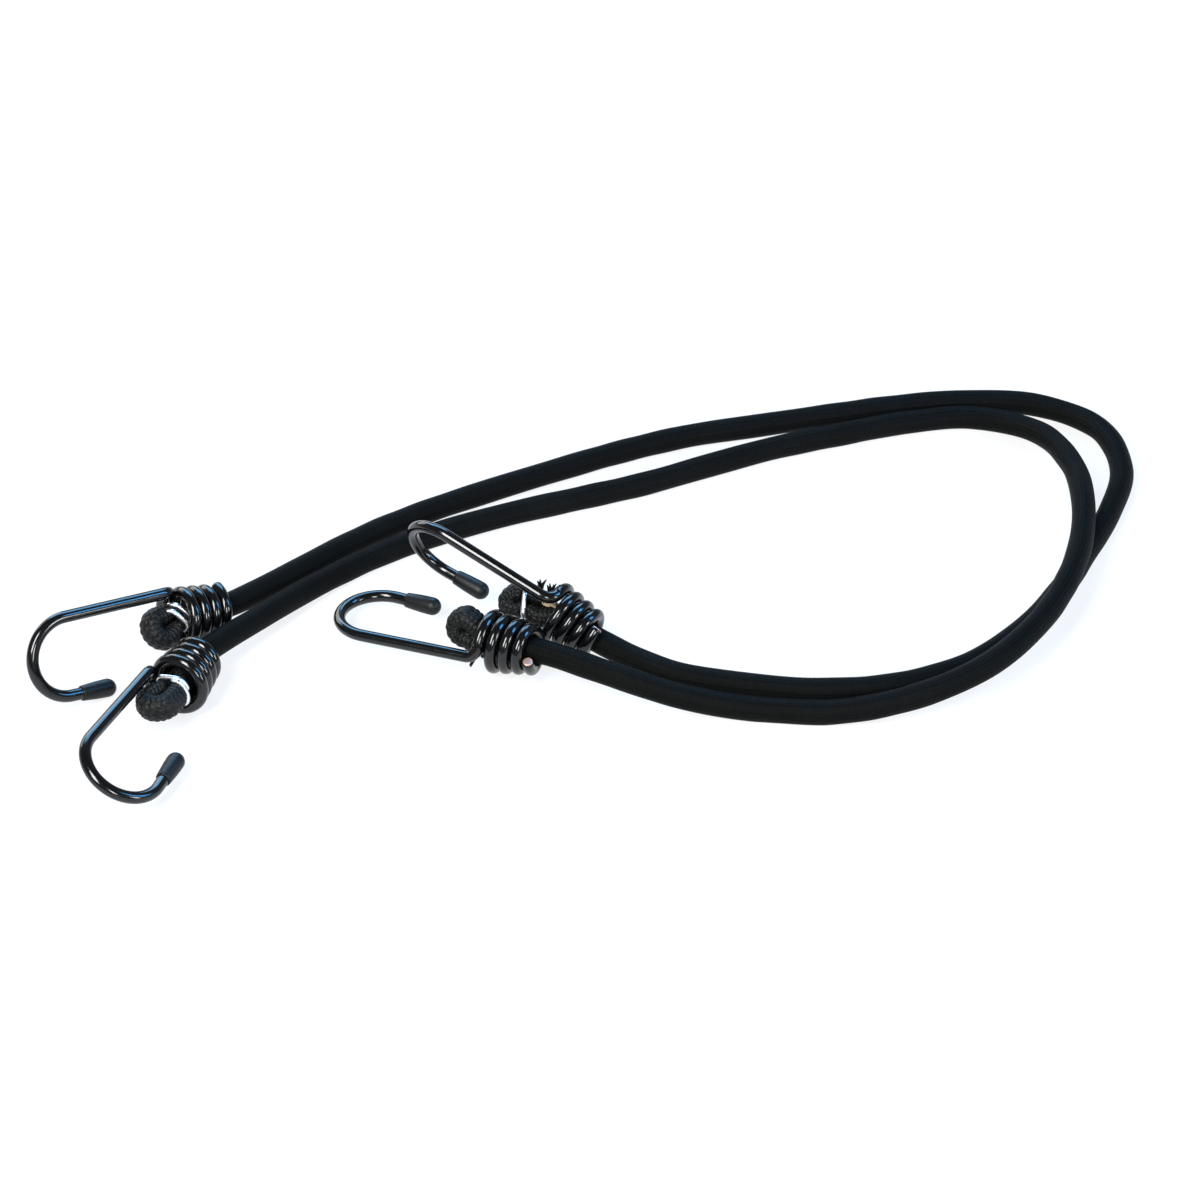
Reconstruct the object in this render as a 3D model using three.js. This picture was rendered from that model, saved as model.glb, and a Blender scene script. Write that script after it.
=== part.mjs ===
// A pair of braided bungee cords lying side by side, each with a coated wire hook wound onto both ends.
// Units are millimetres, +Z is up and the cords rest on the plane z = 0.
import * as THREE from 'three';

// Cord: a braided cover round a rubber core
const CORD_DIAMETER = 7.8;
const COVER_WALL = 0.8;
const CORE_CLEARANCE = 0.3;
const REST_FLAT_SHARE = 0.1;
const CORD_SIDES = 8;
const CORD_STEP = 24;
const CORD_TURN_STEP_DEG = 25;
const ROUTE_SAMPLES_PER_SPAN = 24;

// Folded cord end outside each coil: two runs squeezed in the neck, then a fuller knob
const NECK_GAP = 0.3;
const KNOB_THICKNESS = 6.6;
const KNOB_WIDTH = 8.6;
const KNOB_FOLD_STEPS = 6;
const TAIL_CLEARANCE = 0.6;
// Where the section turns from resting to folding, as shares of the coil's length behind its front
const TWIST_SHARES = [0.75, 0.5, 0.3];

// Clip ring crimped round both runs in the neck
const RING_WIRE = 1.6;
const RING_CLEARANCE = 0.25;
const RING_FACE_ROOM = 0.65;
const RING_SIDE_ROOM = 0.8;
const RING_OPENING_DEG = 24;
const RING_ARC_STEPS = 6;
const RING_SIDES = 6;

// Hook: steel wire in a thin coating
const COATING_DIAMETER = 3.8;
const COATING_WALL = 0.35;
const WIRE_CLEARANCE = 0.25;
const WIRE_SIDES = 6;
const COIL_TURNS = 3.95;
const COIL_PITCH = 4.2;
const COIL_FRONT_RADIUS = 8.35;
const COIL_REAR_RADIUS = 6.2;
const COIL_STEPS_PER_TURN = 10;
const SHANK_BEND_RADIUS = 4;
const SHANK_BEND_STEPS = 3;
const SHANK_SIDE_OFFSET = 1.25;
const SHANK_LENGTH = 34.7;
const SHANK_STEPS = 2;
const SHANK_FLARE_DEG = 1.2;
const HOOK_RADIUS = 12.3;
const HOOK_STEPS = 10;
const TIP_LEG = 15.2;

// Soft cap on the hook's tip
const CAP_LENGTH = 12;
const CAP_MOUTH_DIAMETER = 5;
const CAP_END_DIAMETER = 5.6;
const CAP_CLEARANCE = 0.3;
const CAP_END_WALL = 2.2;
const CAP_SIDES = 10;
const CAP_DOME_STEPS = 3;

// How far the straight stretch of cord inside a coil runs past the coil's rear
const REAR_STRAIGHT = 3;

// The four ends as they lie. place is where the coil's axis leaves its front turn, heading and pitch aim
// that axis out of the coil, roll turns the hook about it, turn is how far the hook's bend goes round,
// tailRoll is the way the folded tail lies from the shank, tailAt, ringAt and reach are the distances out of
// the cut tail, the clip ring and the knob's far side, fold is the radius of the knob's fold, lean moves the
// knob towards its tail, droop lets it sag.
const ENDS = {
  a: { place: [-133.94, -24.99, 11.12], heading: -142.5, pitch: 10.8, roll: 22, turn: 178.5, tailRoll: 23,
    tailAt: -3, ringAt: -0.6, reach: 12.2, fold: 3.6, lean: -2, droop: 0 },
  b: { place: [-130.67, -57.25, 10.25], heading: -110.9, pitch: 3.2, roll: 59.2, turn: 184.2, tailRoll: 40,
    tailAt: -1, ringAt: 1.5, reach: 14.8, fold: 4.2, lean: 1.9, droop: 0 },
  c: { place: [-36.25, -34.17, 10.03], heading: 157.3, pitch: -3.5, roll: -84, turn: 184.5, tailRoll: 90,
    tailAt: -2, ringAt: 0.5, reach: 13.8, fold: 3.6, lean: 3.8, droop: 0 },
  d: { place: [-16.89, -22.63, 12.47], heading: 151.1, pitch: 17.1, roll: -21.1, turn: 187.1, tailRoll: 60,
    tailAt: 3.5, ringAt: 8.8, reach: 18.5, fold: 3.6, lean: 0, droop: 7.5 },
};

// Routes of the free cord from coil to coil: x, y and the lift of the cord above its resting height
const BACK_ROUTE = [
  [-96.8, 9.4, 1.4], [-79.8, 26.4, 0], [-60.3, 40.3, 0], [-38.8, 52.7, 0], [-16.8, 64.3, 0], [5.2, 75.1, 0],
  [27.7, 84.1, 0], [51.2, 90.1, 0], [75.2, 96.1, 0], [99.2, 101.6, 0], [123.2, 104.6, 0], [147.2, 102.1, 0],
  [166.2, 88.6, 0], [171.2, 65.1, 0], [164.7, 41.6, 0], [154.2, 19.4, 0], [143.2, -2.1, 0], [129.2, -22.1, 0],
  [111.2, -38.4, 0], [88.7, -47.9, 0], [64.7, -50.4, 0], [40.2, -47.4, 0], [19.2, -42.6, 1],
];
const FRONT_ROUTE = [
  [-108.3, -19.1, 3.6], [-93.3, 0.1, 0.8], [-74.8, 16.7, 0], [-54.3, 29.4, 0], [-32.3, 39.8, 0],
  [-10.3, 48.1, 0], [12.2, 56.6, 0], [34.2, 67.1, 0], [56.2, 77.1, 0], [79.2, 85.1, 0], [102.2, 92.1, 0],
  [125.7, 94.6, 0], [145.2, 83.1, 2.2], [153.7, 60.6, 5.5], [154.7, 36.6, 7.8], [151.2, 12.9, 8.1],
  [143.2, -10.1, 8.1], [131.2, -31.1, 8.1], [114.7, -48.4, 7], [93.2, -57.9, 3.5], [69.2, -60.9, 0.2],
  [45.2, -59.4, 0], [21.7, -56, 2.6], [3.2, -50.4, 5.6],
];

const COVER_RADIUS = CORD_DIAMETER / 2;
const BORE_RADIUS = COVER_RADIUS - COVER_WALL;
const CORE_RADIUS = BORE_RADIUS - CORE_CLEARANCE;
const REST_HEIGHT = COVER_RADIUS - CORD_DIAMETER * REST_FLAT_SHARE;
const COATING_RADIUS = COATING_DIAMETER / 2;
const WIRE_BORE_RADIUS = COATING_RADIUS - COATING_WALL;
const WIRE_RADIUS = WIRE_BORE_RADIUS - WIRE_CLEARANCE;
const COIL_LENGTH = COIL_TURNS * COIL_PITCH;
// The neck fills what its clip ring, and the room round that ring, leave inside the coil's front turn
const RING_HOLD = RING_WIRE + RING_CLEARANCE;
const COIL_MOUTH_RADIUS = COIL_FRONT_RADIUS - COATING_RADIUS;
const NECK_THICKNESS = COIL_MOUTH_RADIUS - RING_FACE_ROOM - RING_HOLD - NECK_GAP / 2;
const NECK_WIDTH = 2 * (COIL_MOUTH_RADIUS - RING_SIDE_ROOM - RING_HOLD);
const RUN_SHIFT = (NECK_THICKNESS + NECK_GAP) / 2;

const radians = THREE.MathUtils.degToRad;
const vector = (x, y, z) => new THREE.Vector3(x, y, z);
const Z_UP = vector(0, 0, 1);

const materials = {
  cover: { color: 0x17181a, roughness: 0.9, metalness: 0 },
  core: { color: 0xc9ad7c, roughness: 0.8, metalness: 0 },
  wire: { color: 0xb9b3ac, roughness: 0.35, metalness: 1 },
  coating: { color: 0x0c0d0f, roughness: 0.18, metalness: 0 },
  cap: { color: 0x1b1c1e, roughness: 0.45, metalness: 0 },
  ring: { color: 0xd5d7d8, roughness: 0.25, metalness: 1 },
};

const model = new THREE.Group();

function addMesh(parent, name, geometry, finish) {
  const mesh = new THREE.Mesh(geometry, new THREE.MeshStandardMaterial(finish));
  mesh.name = name;
  parent.add(mesh);
}

// A regular section of unit radius
function roundSection(sides) {
  return Array.from({ length: sides }, (_, i) => {
    const angle = (2 * Math.PI * (i + 0.5)) / sides;
    return [Math.cos(angle), Math.sin(angle)];
  });
}

// A round section of unit radius cut flat below, for a cord that rests on a surface
function restSection(sides) {
  const flatHeight = 1 - 2 * REST_FLAT_SHARE;
  const flatHalfAngle = Math.acos(flatHeight);
  return Array.from({ length: sides }, (_, i) => {
    const angle = flatHalfAngle + (i * 2 * (Math.PI - flatHalfAngle)) / (sides - 1) - Math.PI / 2;
    return [Math.cos(angle), Math.sin(angle)];
  });
}

// Sweeps unit sections of the given radii (outer, then the bore if any) along stations
// { point, right, up, rightScale, upScale } and closes both ends
function sweep(stations, section, outerRadius, boreRadius) {
  const sides = section.length;
  const positions = [];
  const indices = [];
  const radii = boreRadius ? [outerRadius, boreRadius] : [outerRadius];
  for (const radius of radii) {
    for (const { point, right, up, rightScale = 1, upScale = 1 } of stations) {
      for (const [x, y] of section) {
        const corner = point.clone();
        corner.addScaledVector(right, x * radius * rightScale);
        corner.addScaledVector(up, y * radius * upScale);
        positions.push(corner.x, corner.y, corner.z);
      }
    }
  }
  const quad = (a, b, c, d) => indices.push(a, b, c, a, c, d);
  const shell = stations.length * sides;
  const last = shell - sides;
  for (let i = 0; i < sides; i += 1) {
    const j = (i + 1) % sides;
    for (let ring = 0; ring < last; ring += sides) {
      quad(ring + i, ring + j, ring + sides + j, ring + sides + i);
      if (boreRadius) {
        const inner = shell + ring;
        const [a, b, c, d] = [inner + i, inner + j, inner + sides + j, inner + sides + i];
        indices.push(a, c, b, a, d, c);
      }
    }
    if (boreRadius) {
      quad(i, shell + i, shell + j, j);
      quad(last + j, shell + last + j, shell + last + i, last + i);
    }
  }
  if (!boreRadius) {
    for (let i = 1; i < sides - 1; i += 1) {
      indices.push(0, i + 1, i);
      indices.push(last, last + i, last + i + 1);
    }
  }
  const geometry = new THREE.BufferGeometry();
  geometry.setAttribute('position', new THREE.Float32BufferAttribute(positions, 3));
  geometry.setIndex(indices);
  geometry.computeVertexNormals();
  return geometry;
}

// Gives each point of a path its tangent and a frame whose up follows the wanted one
function stationsAlong(points, wantedUps) {
  return points.map((point, i) => {
    const before = points[Math.max(i - 1, 0)];
    const after = points[Math.min(i + 1, points.length - 1)];
    const tangent = after.clone().sub(before).normalize();
    const up = wantedUps[i].clone().addScaledVector(tangent, -wantedUps[i].dot(tangent)).normalize();
    return { point, tangent, up, right: up.clone().cross(tangent) };
  });
}

// The frame of one cord end: out along the coil's axis, shank towards the hook's shank
function endFrame(end) {
  const heading = radians(end.heading);
  const pitch = radians(end.pitch);
  const out = vector(
    Math.cos(pitch) * Math.cos(heading),
    Math.cos(pitch) * Math.sin(heading),
    Math.sin(pitch),
  );
  const upright = Z_UP.clone().addScaledVector(out, -out.z).normalize();
  const shank = upright.clone().applyAxisAngle(out, radians(end.roll));
  const tail = shank.clone().applyAxisAngle(out, radians(end.tailRoll));
  return { origin: vector(...end.place), out, upright, shank, tail };
}

// Centre line of the hook in its own frame: x out along the coil's axis, y towards the shank
function hookPath(turnDegrees) {
  const points = [];
  const coilStart = Math.atan2(SHANK_BEND_RADIUS, COIL_FRONT_RADIUS)
    - Math.asin(SHANK_SIDE_OFFSET / Math.hypot(COIL_FRONT_RADIUS, SHANK_BEND_RADIUS));
  const coilPoint = (turns) => {
    const angle = coilStart + 2 * Math.PI * turns;
    const radius = THREE.MathUtils.lerp(COIL_FRONT_RADIUS, COIL_REAR_RADIUS, turns / COIL_TURNS);
    return vector(-COIL_PITCH * turns, radius * Math.cos(angle), radius * Math.sin(angle));
  };
  const coilSteps = Math.round(COIL_TURNS * COIL_STEPS_PER_TURN);
  for (let i = coilSteps; i >= 0; i -= 1) {
    points.push(coilPoint((COIL_TURNS * i) / coilSteps));
  }
  // From the front turn the wire bends round into the shank
  const joint = coilPoint(0);
  const radial = vector(0, Math.cos(coilStart), Math.sin(coilStart));
  const along = vector(1, 0, 0).cross(radial).negate();
  const bendCentre = joint.clone().addScaledVector(vector(1, 0, 0), SHANK_BEND_RADIUS);
  for (let i = 1; i <= SHANK_BEND_STEPS; i += 1) {
    const angle = (Math.PI / 2) * (i / SHANK_BEND_STEPS);
    const point = bendCentre.clone();
    point.addScaledVector(vector(-1, 0, 0), SHANK_BEND_RADIUS * Math.cos(angle));
    point.addScaledVector(along, SHANK_BEND_RADIUS * Math.sin(angle));
    points.push(point);
  }
  // Shank, hook bend and tip leg lie in one plane
  const flare = radians(SHANK_FLARE_DEG);
  const shankStart = points[points.length - 1];
  const forward = vector(Math.cos(flare), Math.sin(flare), 0);
  for (let i = 1; i <= SHANK_STEPS; i += 1) {
    points.push(shankStart.clone().addScaledVector(forward, (SHANK_LENGTH * i) / SHANK_STEPS));
  }
  const inward = vector(Math.sin(flare), -Math.cos(flare), 0);
  const hookCentre = points[points.length - 1].clone().addScaledVector(inward, HOOK_RADIUS);
  const turn = radians(turnDegrees);
  for (let i = 1; i <= HOOK_STEPS; i += 1) {
    const angle = (turn * i) / HOOK_STEPS;
    const point = hookCentre.clone();
    point.addScaledVector(inward, -HOOK_RADIUS * Math.cos(angle));
    point.addScaledVector(forward, HOOK_RADIUS * Math.sin(angle));
    points.push(point);
  }
  const legStart = points[points.length - 1];
  const legWay = forward.clone().multiplyScalar(Math.cos(turn)).addScaledVector(inward, Math.sin(turn));
  const wireEnd = legStart.clone().addScaledVector(legWay, TIP_LEG - CAP_END_WALL - CAP_CLEARANCE);
  points.push(wireEnd);
  const capEnd = legStart.clone().addScaledVector(legWay, TIP_LEG);
  return { points, capEnd, legWay };
}

// Sections face the coil's axis on the coil and the hook's plane elsewhere
function hookStations({ points }) {
  const coilCount = Math.round(COIL_TURNS * COIL_STEPS_PER_TURN) + 1;
  const ups = points.map((point, i) => (
    i < coilCount ? vector(-1, 0, 0) : vector(0, 0, -1)
  ));
  for (let i = 0; i < SHANK_BEND_STEPS; i += 1) {
    const angle = (Math.PI / 2) * ((i + 1) / SHANK_BEND_STEPS);
    ups[coilCount + i] = vector(-Math.cos(angle), 0, -Math.sin(angle));
  }
  return stationsAlong(points, ups);
}

function capGeometry() {
  const mouthRadius = CAP_MOUTH_DIAMETER / 2;
  const endRadius = CAP_END_DIAMETER / 2;
  const boreRadius = COATING_RADIUS + CAP_CLEARANCE;
  const boreDepth = CAP_LENGTH - CAP_END_WALL;
  const profile = [
    new THREE.Vector2(0, boreDepth),
    new THREE.Vector2(boreRadius, boreDepth),
    new THREE.Vector2(boreRadius, 0),
    new THREE.Vector2(mouthRadius, 0),
  ];
  for (let i = 0; i <= CAP_DOME_STEPS; i += 1) {
    const angle = (Math.PI / 2) * (i / CAP_DOME_STEPS);
    const radius = i === CAP_DOME_STEPS ? 0 : endRadius * Math.cos(angle);
    profile.push(new THREE.Vector2(radius, CAP_LENGTH - endRadius + endRadius * Math.sin(angle)));
  }
  return new THREE.LatheGeometry(profile, CAP_SIDES);
}

// One hook: its wire, coating and tip cap, placed on the coil's axis
function addHook(letter, end) {
  const frame = endFrame(end);
  const group = new THREE.Group();
  const side = frame.out.clone().cross(frame.shank);
  group.quaternion.setFromRotationMatrix(new THREE.Matrix4().makeBasis(frame.out, frame.shank, side));
  group.position.copy(frame.origin);
  model.add(group);
  const path = hookPath(end.turn);
  const stations = hookStations(path);
  const section = roundSection(WIRE_SIDES);
  addMesh(group, `hook_${letter}_wire`, sweep(stations, section, WIRE_RADIUS), materials.wire);
  addMesh(
    group,
    `hook_${letter}_coating`,
    sweep(stations, section, COATING_RADIUS, WIRE_BORE_RADIUS),
    materials.coating,
  );
  const cap = new THREE.Group();
  cap.position.copy(path.capEnd).addScaledVector(path.legWay, -CAP_LENGTH);
  cap.quaternion.setFromUnitVectors(vector(0, 1, 0), path.legWay);
  group.add(cap);
  addMesh(cap, `hook_${letter}_tip_cap`, capGeometry(), materials.cap);
}

// Where a point of the folded end lies: out along the axis, across towards the tail, sagging as it goes out
function endPoint(frame, end, outward, across) {
  const sag = outward > 0 ? end.droop * (outward / end.reach) ** 2 : 0;
  return frame.origin.clone()
    .addScaledVector(frame.out, outward)
    .addScaledVector(frame.tail, across)
    .addScaledVector(frame.upright, -sag);
}

// Stations of one folded end, from the coil's rear out to the knob and back to the cut tail
function foldedEnd(end) {
  const frame = endFrame(end);
  const across = frame.out.clone().cross(frame.tail);
  const upward = across.dot(frame.upright) < 0 ? across.clone().negate() : across;
  const foldAt = end.reach - end.fold - KNOB_THICKNESS / 2;
  const cord = { thick: CORD_DIAMETER, wide: CORD_DIAMETER };
  const neck = { thick: NECK_THICKNESS, wide: NECK_WIDTH };
  const knob = { thick: KNOB_THICKNESS, wide: KNOB_WIDTH };
  const ringFront = end.ringAt + RING_WIRE / 2;
  const rows = [{ at: -COIL_LENGTH - REAR_STRAIGHT, over: 0, size: cord, twist: 0, turn: 0 }];
  TWIST_SHARES.forEach((share, i) => {
    const twist = (i + 1) / TWIST_SHARES.length;
    rows.push({ at: -COIL_LENGTH * share, over: 0, size: cord, twist, turn: 0 });
  });
  rows.push(
    { at: end.tailAt - TAIL_CLEARANCE, over: -RUN_SHIFT, size: neck, twist: 1, turn: 0 },
    { at: ringFront, over: -RUN_SHIFT, size: neck, twist: 1, turn: 0 },
  );
  for (let i = 0; i <= KNOB_FOLD_STEPS; i += 1) {
    const turn = Math.PI * (i / KNOB_FOLD_STEPS);
    rows.push({
      at: foldAt + end.fold * Math.sin(turn),
      over: end.lean - end.fold * Math.cos(turn),
      size: knob,
      twist: 1,
      turn,
    });
  }
  rows.push(
    { at: ringFront, over: RUN_SHIFT, size: neck, twist: 1, turn: Math.PI },
    { at: end.tailAt, over: RUN_SHIFT, size: neck, twist: 1, turn: Math.PI },
  );
  return rows.map(({ at, over, size, twist, turn }) => {
    const up = frame.upright.clone().lerp(upward, twist).normalize();
    const tangent = frame.out.clone().multiplyScalar(Math.cos(turn));
    tangent.addScaledVector(frame.tail, Math.sin(turn));
    return {
      point: endPoint(frame, end, at, over),
      tangent,
      up,
      right: up.clone().cross(tangent),
      rightScale: size.thick / CORD_DIAMETER,
      upScale: size.wide / CORD_DIAMETER,
    };
  });
}

// Points on the free run between two coils
function freeRun(startEnd, finishEnd, route) {
  const reachBack = (end, distance) => {
    const frame = endFrame(end);
    return frame.origin.clone().addScaledVector(frame.out, -distance);
  };
  const rear = COIL_LENGTH + REAR_STRAIGHT;
  const inside = rear - CORD_DIAMETER / 2;
  const controls = [
    reachBack(startEnd, inside),
    reachBack(startEnd, rear),
    ...route.map(([x, y, lift]) => vector(x, y, REST_HEIGHT + lift)),
    reachBack(finishEnd, rear),
    reachBack(finishEnd, inside),
  ];
  const curve = new THREE.CatmullRomCurve3(controls, false, 'centripetal');
  const spans = controls.length - 1;
  const dense = [];
  for (let i = ROUTE_SAMPLES_PER_SPAN; i <= (spans - 1) * ROUTE_SAMPLES_PER_SPAN; i += 1) {
    dense.push(curve.getPoint(i / (spans * ROUTE_SAMPLES_PER_SPAN)));
  }
  // Progress counts length and turning, so that bends get closer stations
  const progress = [0];
  let way = dense[1].clone().sub(dense[0]);
  for (let i = 1; i < dense.length; i += 1) {
    const step = dense[i].clone().sub(dense[i - 1]);
    const turned = THREE.MathUtils.radToDeg(step.angleTo(way));
    progress.push(progress[i - 1] + step.length() / CORD_STEP + turned / CORD_TURN_STEP_DEG);
    way = step;
  }
  const total = progress[progress.length - 1];
  const count = Math.round(total);
  const points = [];
  let index = 1;
  for (let i = 1; i < count; i += 1) {
    const wanted = (total * i) / count;
    while (progress[index] < wanted) {
      index += 1;
    }
    const share = (wanted - progress[index - 1]) / (progress[index] - progress[index - 1]);
    const point = dense[index - 1].clone().lerp(dense[index], share);
    point.z = Math.max(point.z, REST_HEIGHT);
    points.push(point);
  }
  return points;
}

// A whole cord: folded end, free run, folded end
function cordStations(startEnd, finishEnd, route) {
  const start = foldedEnd(startEnd).reverse();
  const finish = foldedEnd(finishEnd);
  const middle = freeRun(startEnd, finishEnd, route);
  const turned = start.map((station) => ({
    ...station,
    tangent: station.tangent.clone().negate(),
    right: station.right.clone().negate(),
  }));
  const reached = [turned[turned.length - 1].point, ...middle, finish[0].point];
  const free = stationsAlong(reached, reached.map(() => Z_UP)).slice(1, -1);
  return [...turned, ...free, ...finish];
}

function addCord(name, startEnd, finishEnd, route) {
  const stations = cordStations(startEnd, finishEnd, route);
  const section = restSection(CORD_SIDES);
  const cover = sweep(stations, section, COVER_RADIUS, BORE_RADIUS);
  addMesh(model, `${name}_cover`, cover, materials.cover);
  addMesh(model, `${name}_rubber_core`, sweep(stations, section, CORE_RADIUS), materials.core);
  const length = stations.slice(1).reduce(
    (sum, station, i) => sum + station.point.distanceTo(stations[i].point),
    0,
  );
  console.log(`${name}: ${length.toFixed(1)} mm of cord`);
}

// The clip ring follows the outline of the two squeezed runs, open on the tail's side, and leans with the
// neck where the folded end sags
function addRing(letter, end) {
  const frame = endFrame(end);
  const alongRadius = NECK_THICKNESS / 2 + RING_CLEARANCE + RING_WIRE / 2;
  const acrossRadius = NECK_WIDTH / 2 + RING_CLEARANCE + RING_WIRE / 2;
  const side = frame.out.clone().cross(frame.tail);
  const slope = (end.droop * Math.max(end.ringAt, 0)) / end.reach ** 2;
  const centre = endPoint(frame, end, end.ringAt, 0);
  const halfOpening = radians(RING_OPENING_DEG) / 2;
  const points = [];
  const arc = (from, to, across) => {
    for (let i = 0; i <= RING_ARC_STEPS; i += 1) {
      const angle = THREE.MathUtils.lerp(from, to, i / RING_ARC_STEPS);
      const offset = frame.tail.clone().multiplyScalar(across + alongRadius * Math.cos(angle));
      offset.addScaledVector(side, acrossRadius * Math.sin(angle));
      offset.addScaledVector(frame.out, slope * offset.dot(frame.upright));
      points.push(centre.clone().add(offset));
    }
  };
  arc(halfOpening, Math.PI / 2, RUN_SHIFT);
  arc(Math.PI / 2, (3 * Math.PI) / 2, -RUN_SHIFT);
  arc((3 * Math.PI) / 2, 2 * Math.PI - halfOpening, RUN_SHIFT);
  const stations = stationsAlong(points, points.map(() => frame.out));
  const geometry = sweep(stations, roundSection(RING_SIDES), RING_WIRE / 2);
  addMesh(model, `hook_${letter}_clip_ring`, geometry, materials.ring);
}

// Least gap between neighbouring turns of the coated coil, measured on points of its centre line
function reportCoilGap() {
  const { points } = hookPath(ENDS.a.turn);
  const coilPoints = points.slice(0, Math.round(COIL_TURNS * COIL_STEPS_PER_TURN) + 1);
  let least = Infinity;
  coilPoints.forEach((point, i) => {
    for (let j = i + Math.round(COIL_STEPS_PER_TURN / 2); j < coilPoints.length; j += 1) {
      least = Math.min(least, point.distanceTo(coilPoints[j]));
    }
  });
  console.log(`least gap in a hook coil: ${(least - COATING_DIAMETER).toFixed(2)} mm`);
}

addCord('back_cord', ENDS.a, ENDS.d, BACK_ROUTE);
addCord('front_cord', ENDS.b, ENDS.c, FRONT_ROUTE);
for (const [letter, end] of Object.entries(ENDS)) {
  addHook(letter, end);
  addRing(letter, end);
}
reportCoilGap();

export default model;
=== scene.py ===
"""A pair of black braided bungee cords with coated wire hooks, dressed for a render."""
import math

import bpy
import numpy as np
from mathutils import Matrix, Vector


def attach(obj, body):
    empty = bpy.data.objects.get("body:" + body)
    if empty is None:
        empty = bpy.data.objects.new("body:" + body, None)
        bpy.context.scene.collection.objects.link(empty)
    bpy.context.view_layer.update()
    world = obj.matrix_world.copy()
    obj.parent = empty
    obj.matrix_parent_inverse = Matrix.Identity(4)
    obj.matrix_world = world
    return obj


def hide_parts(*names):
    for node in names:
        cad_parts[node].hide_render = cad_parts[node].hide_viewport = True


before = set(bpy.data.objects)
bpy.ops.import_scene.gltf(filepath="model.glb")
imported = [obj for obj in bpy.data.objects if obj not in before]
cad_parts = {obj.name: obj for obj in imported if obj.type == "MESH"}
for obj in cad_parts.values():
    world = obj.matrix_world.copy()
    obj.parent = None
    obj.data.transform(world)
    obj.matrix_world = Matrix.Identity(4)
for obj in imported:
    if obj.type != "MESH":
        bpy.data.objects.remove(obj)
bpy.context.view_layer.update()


# The camera looks down at the pair from the front, as the photograph's does, from just over a metre away.
# Its long lens keeps the picture flat. It looks at a point on the ground beside the middle of the pair.
MM = 0.001
SENSOR_WIDTH = 36.0
LENS = 103.88
CAMERA_DISTANCE = 1100 * MM
CAMERA_ELEVATION = math.radians(38)
LOOK_AT = Vector((-1.95, -1.04, 0)) * MM

lens = bpy.data.cameras.new("camera")
lens.sensor_width = SENSOR_WIDTH
lens.lens = LENS
camera = bpy.data.objects.new("camera", lens)
bpy.context.scene.collection.objects.link(camera)
back = Vector((0, -math.cos(CAMERA_ELEVATION), math.sin(CAMERA_ELEVATION)))
camera.location = LOOK_AT + back * CAMERA_DISTANCE
camera.rotation_mode = "QUATERNION"
camera.rotation_quaternion = (-back).to_track_quat("-Z", "Y")
bpy.context.scene.camera = camera


# Each cord is a rubber core in a braided textile sheath, cut to length and folded back at both ends. From
# coil to coil it lies loose on the ground, flattened a little where it rests, and the front cord passes over
# the back one. The sheath is woven black yarn whose stitches make fine cross ribs.
CORD_DIAMETER = 7.8 * MM
CORD_REST_HEIGHT = 3.5 * MM
CORD_SIDES = 36
CORD_STEP = 1.0 * MM
UNEVEN = 0.06 * MM
UNEVEN_WAVE = 23 * MM
UNEVEN_DRIFT = 2
UNEVEN_DRIFT_WAVES = 3.7
CURVE_SAMPLES = 24
COIL_TURNS = 3.95
COIL_PITCH = 4.1 * MM
COIL_LENGTH = COIL_TURNS * COIL_PITCH
REAR_STRAIGHT = 3 * MM
SEAM_SHARE = 0.35
# place, heading, pitch and roll lay out a coil's axis and its hook, and turn is how far the hook bends.
# tail_roll goes on from the shank to the cut tail, round the axis. Angles are in degrees and the rest in mm.
# tail_at, ring_at and reach are the distances out of the cut tail, the clip and the knob's far side.
# fold and lean shape the knob, droop lets it sag, and mouth is the fold's thickness inside the coil.
ENDS = {
    "a": {
        "place": (-133.94, -24.99, 11.12), "heading": -142.5, "pitch": 10.8, "roll": 22, "turn": 178.5,
        "tail_roll": 23, "tail_at": -3, "ring_at": -0.6, "reach": 12.2, "fold": 3.6, "lean": -2,
        "droop": -1.6, "mouth": 3.8,
    },
    "b": {
        "place": (-130.67, -57.25, 10.25), "heading": -110.9, "pitch": 3.2, "roll": 59.2, "turn": 184.2,
        "tail_roll": 40, "tail_at": -1, "ring_at": 1.5, "reach": 14.8, "fold": 4, "lean": 1.4,
        "droop": 0, "mouth": 3.8,
    },
    "c": {
        "place": (-36.25, -34.17, 10.03), "heading": 157.3, "pitch": -3.5, "roll": -84, "turn": 184.5,
        "tail_roll": 90, "tail_at": -2, "ring_at": 0.5, "reach": 13.8, "fold": 3.6, "lean": 3.8,
        "droop": 1.8, "mouth": 3.8,
    },
    "d": {
        "place": (-16.89, -22.63, 12.47), "heading": 151.1, "pitch": 17.1, "roll": -21.1, "turn": 187.1,
        "tail_roll": 60, "tail_at": 3.5, "ring_at": 7.6, "reach": 17.3, "fold": 2.8, "lean": 0,
        "droop": 8, "mouth": 6.2,
    },
}
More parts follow.
